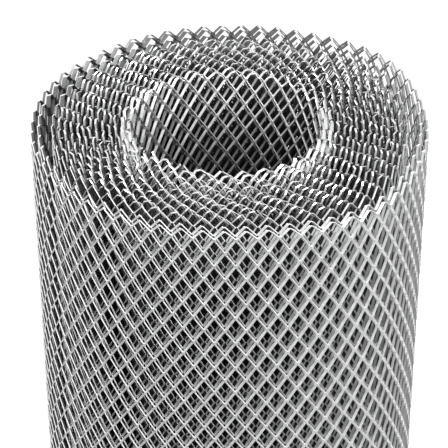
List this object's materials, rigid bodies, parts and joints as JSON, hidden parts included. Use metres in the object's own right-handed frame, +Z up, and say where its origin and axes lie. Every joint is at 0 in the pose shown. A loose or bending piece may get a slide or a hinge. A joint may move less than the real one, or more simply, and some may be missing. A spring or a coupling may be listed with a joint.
{
  "type": "roll of expanded metal mesh",
  "caption": "Standing roll of raised expanded metal mesh: one long diamond-mesh sheet wound round an open bore, with its turns showing on both ends.",
  "frame": {"origin": "centre of the wound end that the roll stands on", "axes": "+Z up along the bore, from the end it stands on to the open top end; -Y towards the viewer of the picture"},
  "size_m": [0.31, 0.31, 1],
  "materials": {
    "galvanised_mesh": "bright galvanised steel strand, semi-matt, with a fine grain"
  },
  "bodies": {
    "root": {"mesh_roll": "galvanised_mesh"}
  },
  "joints": []
}
